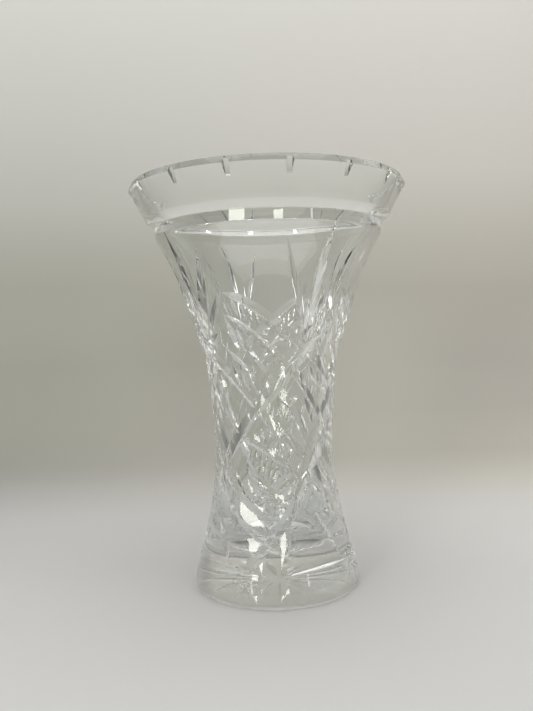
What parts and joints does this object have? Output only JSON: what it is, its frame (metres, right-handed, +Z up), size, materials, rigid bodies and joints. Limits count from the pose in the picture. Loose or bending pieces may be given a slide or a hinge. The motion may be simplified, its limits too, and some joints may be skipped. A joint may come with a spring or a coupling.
{
  "type": "cut crystal vase",
  "caption": "Corset-shaped cut crystal vase with a plain flared collar, fans of leaf-shaped cuts and crossing spiral mitres on the body.",
  "frame": {"origin": "middle of the resting face under the foot", "axes": "+Z up along the axis that the vase was turned on, front towards -Y"},
  "size_m": [0.1724, 0.1724, 0.2515],
  "materials": {
    "crystal": "clear polished lead crystal"
  },
  "bodies": {
    "root": {"vase": "crystal"}
  },
  "joints": []
}
